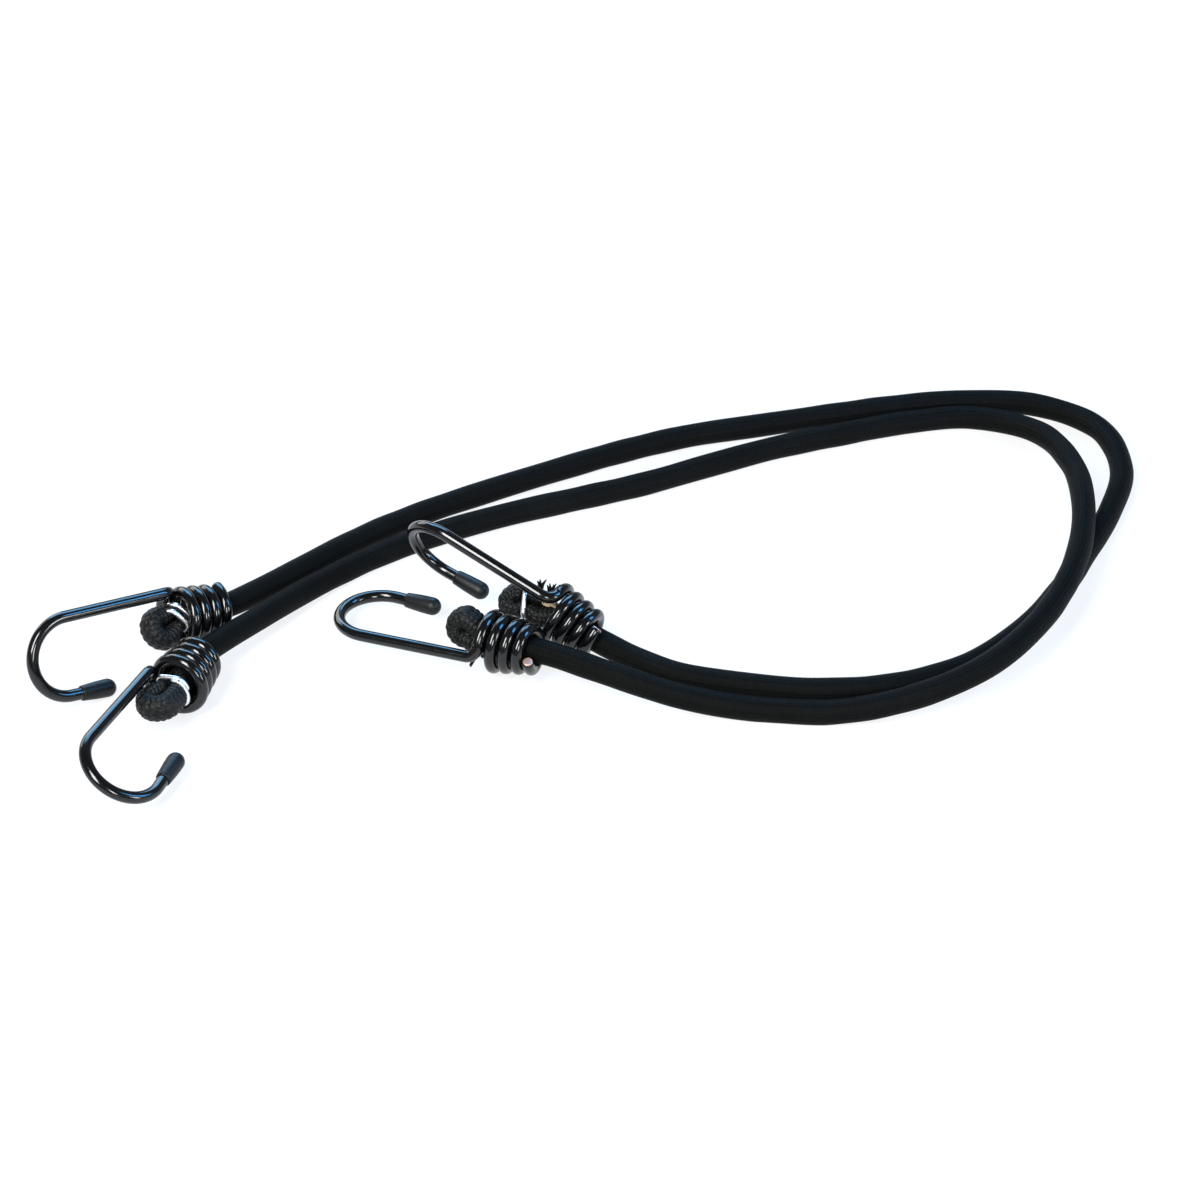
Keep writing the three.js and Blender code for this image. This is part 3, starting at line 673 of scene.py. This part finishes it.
for letter, end in ENDS.items():
    line = evenly(ring_line(end, RINGS[letter]), RING_STEP)
    travelled = lengths_along(line)
    ends_in = np.minimum(travelled, travelled[-1] - travelled) / (RING_WIRE / 2)
    radius = RING_WIRE / 2 * rounded(ends_in, RING_END_SHARE)
    grid = tube(line, *sides_of(line, end_frame(end)[1]), radius, radius, RING_SIDES)
    body = BODY_OF_END[letter]
    ring = skin(f"hook_{letter}_crimped_clip", grid, travelled, plating.material, body)
    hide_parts(f"hook_{letter}_clip_ring")


# Each hook is one bent steel wire in a glossy black dipped coating. Its rear is wound round the cord as a
# cone of about four turns. Its front bends into a straight shank, a half-round hook and a short leg.
# The coil's rear end is cut square, so the steel shows there.
COATING_DIAMETER = 3.8 * MM
COATING_WALL = 0.35 * MM
WIRE_PROUD = 0.25 * MM
WIRE_STEP = 0.5 * MM
WIRE_SIDES = 28
COIL_FRONT_RADIUS = 8.35 * MM
COIL_REAR_RADIUS = 5.95 * MM
COIL_STEPS_PER_TURN = 48
SHANK_BEND_RADIUS = 4 * MM
SHANK_SIDE_OFFSET = 1.25 * MM
SHANK_LENGTH = 34.7 * MM
SHANK_FLARE = math.radians(1.2)
HOOK_RADIUS = 12.3 * MM
TIP_LEG = 15.2 * MM
BEND_STEPS = 24
CAP_END_WALL = 2.2 * MM
CAP_CLEARANCE = 0.3 * MM
CUT_ROUNDING = 0.5 * MM
REAR_SPRING = 0.9 * MM
REAR_SPRING_TURNS = 0.14
CUT_BURR_SHARE = 0.9
CUT_LEAST_SHARE = 0.75
AXIS_NUDGE = 1e-9
COATING_COLOUR = (0.002, 0.0023, 0.0026)
COATING_ROUGHNESS = 0.14
COATING_NOISE = (500, 3)
COATING_ROUGHNESS_SPREAD = (0.08, 0.2)
COATING_RIPPLE_NOISE = (170, 2)
COATING_RIPPLE = 0.06 * MM
COATING_RIPPLE_SHARE = 0.5
STEEL_COLOUR = (0.8, 0.5, 0.4)
STEEL_ROUGHNESS = 0.5
STEEL_NOISE = (2500, 3)
STEEL_ROUGHNESS_SPREAD = (0.4, 0.6)
STEEL_SCORE_NOISE = (4000, 2)
STEEL_SCORE = 0.03 * MM

coating = Finish("dipped_coating", COATING_COLOUR, COATING_ROUGHNESS)
coating.set("Roughness", coating.spread(coating.noise(*COATING_NOISE), *COATING_ROUGHNESS_SPREAD))
coating.bump(coating.noise(*COATING_RIPPLE_NOISE), COATING_RIPPLE, COATING_RIPPLE_SHARE)

steel = Finish("cut_steel", STEEL_COLOUR, STEEL_ROUGHNESS, metallic=1.0)
steel.set("Roughness", steel.spread(steel.noise(*STEEL_NOISE), *STEEL_ROUGHNESS_SPREAD))
steel.bump(steel.noise(*STEEL_SCORE_NOISE), STEEL_SCORE)


def hook_line(whole_turn):
    """Centre line of a hook in its own frame, x out of the coil and y to the shank, where its leg ends and
    the leg's way. The coil is a cone's helix that opens as a parabola at its rear end, the two bends are
    arcs, and the shank and leg are straight."""
    x_way = np.array([1.0, 0, 0])
    offset = np.arcsin(SHANK_SIDE_OFFSET / np.hypot(COIL_FRONT_RADIUS, SHANK_BEND_RADIUS))
    start = np.arctan2(SHANK_BEND_RADIUS, COIL_FRONT_RADIUS) - offset
    turns = np.linspace(COIL_TURNS, 0, int(COIL_TURNS * COIL_STEPS_PER_TURN))
    angle = start + 2 * np.pi * turns
    radius = COIL_FRONT_RADIUS + (COIL_REAR_RADIUS - COIL_FRONT_RADIUS) * turns / COIL_TURNS
    sprung = np.clip((turns - COIL_TURNS) / REAR_SPRING_TURNS + 1, 0, 1)
    radius = radius + REAR_SPRING * sprung**2
    coil = np.column_stack([-COIL_PITCH * turns, radius * np.cos(angle), radius * np.sin(angle)])
    joint = coil[-1]
    along = -np.cross(x_way, [0, np.cos(start), np.sin(start)])
    bend = np.linspace(0, np.pi / 2, BEND_STEPS)[1:, None]
    shank_bend = joint + SHANK_BEND_RADIUS * (x_way * (1 - np.cos(bend)) + along * np.sin(bend))
    forward = np.array([np.cos(SHANK_FLARE), np.sin(SHANK_FLARE), 0])
    inward = np.array([np.sin(SHANK_FLARE), -np.cos(SHANK_FLARE), 0])
    shank = shank_bend[-1] + forward * np.linspace(0, SHANK_LENGTH, BEND_STEPS)[1:, None]
    turn = np.linspace(0, whole_turn, 2 * BEND_STEPS)[1:, None]
    hook = shank[-1] + HOOK_RADIUS * (inward * (1 - np.cos(turn)) + forward * np.sin(turn))
    leg_way = forward * np.cos(whole_turn) + inward * np.sin(whole_turn)
    leg = hook[-1] + leg_way * np.linspace(0, TIP_LEG - CAP_END_WALL - CAP_CLEARANCE, BEND_STEPS)[1:, None]
    return np.vstack([coil, shank_bend, shank, hook, leg]), hook[-1] + leg_way * TIP_LEG, leg_way


def hook_ways(end):
    """Directions of the hook's own frame: out of the coil, to the shank and across both."""
    _, out, _, shank, _ = end_frame(end)
    return np.array([out, shank, np.cross(out, shank)])


def placed(points, end):
    """Points of the hook's own frame moved to where its end lies."""
    return end_frame(end)[0] + points @ hook_ways(end)


for letter, end in ENDS.items():
    local_line = evenly(hook_line(math.radians(end["turn"]))[0], WIRE_STEP)
    from_axis = unit(local_line * (0, 1, 1) + (AXIS_NUDGE, 0, 0))
    away = np.where(local_line[:, :1] <= 0, np.array([-1.0, 0, 0]), from_axis)
    wire_travelled = lengths_along(local_line)
    line = placed(local_line, end)
    rights, ups = sides_of(line, away @ hook_ways(end))
    radius = COATING_DIAMETER / 2 * rounded(wire_travelled / CUT_ROUNDING, CUT_LEAST_SHARE)
    grid = tube(line, rights, ups, radius, radius, WIRE_SIDES)
    body = f"hook_{letter}"
    coated = skin(f"hook_{letter}_dipped_wire", grid, wire_travelled, coating.material, body)
    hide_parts(f"hook_{letter}_coating")
    line = np.vstack([line[0] + unit(line[0] - line[1]) * WIRE_PROUD, line])
    radius = np.full(len(line), COATING_DIAMETER / 2 - COATING_WALL)
    radius[0] *= CUT_BURR_SHARE
    grid = tube(line, np.vstack([rights[:1], rights]), np.vstack([ups[:1], ups]), radius, radius, WIRE_SIDES)
    bare = skin(f"hook_{letter}_steel_wire", grid, lengths_along(line), steel.material, body)
    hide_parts(f"hook_{letter}_wire")


# A soft moulded cap is pushed over the hook's tip. It has a thin mouth round the wire, swells a little
# towards its round end, and has a satin skin.
CAP_LENGTH = 12 * MM
CAP_MOUTH_DIAMETER = 4.7 * MM
CAP_END_DIAMETER = 5.7 * MM
CAP_SIDES = 40
CAP_STEPS = 14
CAP_LIP_PLACES = (0, 0.05 * MM, 0.25 * MM)
CAP_LIP_SHARES = (0.86, 0.95, 1)
CAP_SIDE_START_SHARE = 0.1
CAP_COLOUR = (0.005, 0.0055, 0.0055)
CAP_ROUGHNESS = 0.42
CAP_GLOSS = 0.25
CAP_NOISE = (900, 3)
CAP_ROUGHNESS_SPREAD = (0.34, 0.5)
CAP_GRAIN_NOISE = (1800, 3)
CAP_GRAIN = 0.03 * MM

cap_finish = Finish("soft_cap", CAP_COLOUR, CAP_ROUGHNESS)
cap_finish.set("Roughness", cap_finish.spread(cap_finish.noise(*CAP_NOISE), *CAP_ROUGHNESS_SPREAD))
cap_finish.bump(cap_finish.noise(*CAP_GRAIN_NOISE), CAP_GRAIN)
cap_finish.surface.inputs["Specular IOR Level"].default_value = CAP_GLOSS


def cap_surface(end):
    """Turned shape: a lip, a side that widens as a quarter sine, and a round end of the side's radius."""
    end_radius, mouth = CAP_END_DIAMETER / 2, CAP_MOUTH_DIAMETER / 2
    dome = np.linspace(0, np.pi / 2, CAP_STEPS, endpoint=False)
    lip = np.column_stack([CAP_LIP_PLACES, mouth * np.array(CAP_LIP_SHARES)])
    shares = np.linspace(CAP_SIDE_START_SHARE, 1, CAP_STEPS)
    side_at = shares * (CAP_LENGTH - end_radius)
    side = np.column_stack([side_at, mouth + (end_radius - mouth) * np.sin(shares * np.pi / 2)])
    tip = np.column_stack([CAP_LENGTH - end_radius + end_radius * np.sin(dome), end_radius * np.cos(dome)])
    profile = np.vstack([lip, side, tip[1:]])
    _, cap_end, leg_way = hook_line(math.radians(end["turn"]))
    line = placed(cap_end + leg_way * (profile[:, :1] - CAP_LENGTH), end)
    grid = tube(line, *sides_of(line, end_frame(end)[3]), profile[:, 1], profile[:, 1], CAP_SIDES)
    return grid, profile[:, 0]


for letter, end in ENDS.items():
    grid, travelled = cap_surface(end)
    cap = skin(f"hook_{letter}_soft_cap", grid, travelled, cap_finish.material, f"hook_{letter}")
    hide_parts(f"hook_{letter}_tip_cap")


# The pair lies on a plain white ground in a studio. White lamps in front, on both sides and behind, one
# blue lamp on the right and one behind make the streaks on the coated wire. Dim walls and a dimmer ceiling
# fill the rest.
GROUND_SIZE = 6.0
GROUND_COLOUR = (0.96, 0.965, 0.97)
GROUND_ROUGHNESS = 0.7
GROUND_SHADOWLESS_SHARE = 0.8
WHITE = (1, 1, 1)
DEEP_BLUE = (0.1, 0.45, 1)
SOFT_BLUE = (0.25, 0.6, 1)
LAMP_DISTANCE = 1.2
LAMPS = {
    "right_white": {"azimuth": -30, "elevation": 19, "size": (0.22, 0.32), "power": 4.5, "colour": WHITE},
    "right_blue": {"azimuth": -1, "elevation": 36, "size": (0.3, 0.6), "power": 10.0, "colour": DEEP_BLUE},
    "front_white": {"azimuth": -78, "elevation": 27, "size": (0.24, 0.36), "power": 5.4, "colour": WHITE},
    "left_white": {"azimuth": -124, "elevation": 46, "size": (0.34, 0.7), "power": 18.0, "colour": WHITE},
    "back_soft": {"azimuth": 128, "elevation": 20, "size": (0.9, 0.5), "power": 5.0, "colour": WHITE},
    "back_blue": {"azimuth": 98, "elevation": 42, "size": (0.9, 0.6), "power": 15.0, "colour": SOFT_BLUE},
}
WALL_STRENGTH = 0.25
CEILING_STRENGTH = 0.1

ground_mesh = bpy.data.meshes.new("ground")
half = GROUND_SIZE / 2
corners = [(-half, -half, 0), (half, -half, 0), (half, half, 0), (-half, half, 0)]
ground_mesh.from_pydata(corners, [], [(0, 1, 2, 3)])
ground = bpy.data.objects.new("ground", ground_mesh)
bpy.context.scene.collection.objects.link(ground)
paper = Finish("white_ground", GROUND_COLOUR, GROUND_ROUGHNESS)
rays = paper.add("LightPath").outputs
seen = paper.math("MAXIMUM", rays["Is Camera Ray"], rays["Is Glossy Ray"])
seen = paper.math("MAXIMUM", seen, rays["Is Transmission Ray"])
white = paper.add("Emission", {"Color": (*WHITE, 1), "Strength": 1}).outputs[0]
share = paper.math("MULTIPLY", seen, GROUND_SHADOWLESS_SHARE)
both = paper.add("MixShader", {0: share, 1: paper.surface.outputs[0], 2: white}).outputs[0]
paper.tree.links.new(both, paper.tree.nodes["Material Output"].inputs["Surface"])
ground_mesh.materials.append(paper.material)

for lamp_name, row in LAMPS.items():
    lamp = bpy.data.lights.new(lamp_name, "AREA")
    lamp.shape = "RECTANGLE"
    lamp.size, lamp.size_y = row["size"]
    lamp.energy = row["power"]
    lamp.color = row["colour"]
    azimuth, elevation = math.radians(row["azimuth"]), math.radians(row["elevation"])
    flat = math.cos(elevation)
    away = Vector((flat * math.cos(azimuth), flat * math.sin(azimuth), math.sin(elevation)))
    holder = bpy.data.objects.new(lamp_name, lamp)
    holder.location = away * LAMP_DISTANCE
    holder.rotation_mode = "QUATERNION"
    holder.rotation_quaternion = (-away).to_track_quat("-Z", "Y")
    bpy.context.scene.collection.objects.link(holder)

world = bpy.data.worlds.new("studio")
world.use_nodes = True
bpy.context.scene.world = world
nodes, links = world.node_tree.nodes, world.node_tree.links
way = nodes.new("ShaderNodeTexCoord")
height = nodes.new("ShaderNodeSeparateXYZ")
links.new(way.outputs["Generated"], height.inputs[0])
strength = nodes.new("ShaderNodeMapRange")
strength.inputs["To Min"].default_value = WALL_STRENGTH
strength.inputs["To Max"].default_value = CEILING_STRENGTH
links.new(height.outputs["Z"], strength.inputs["Value"])
sky = nodes["Background"]
sky.inputs["Color"].default_value = (*WHITE, 1)
links.new(strength.outputs["Result"], sky.inputs["Strength"])

bpy.context.scene.view_settings.view_transform = "Standard"
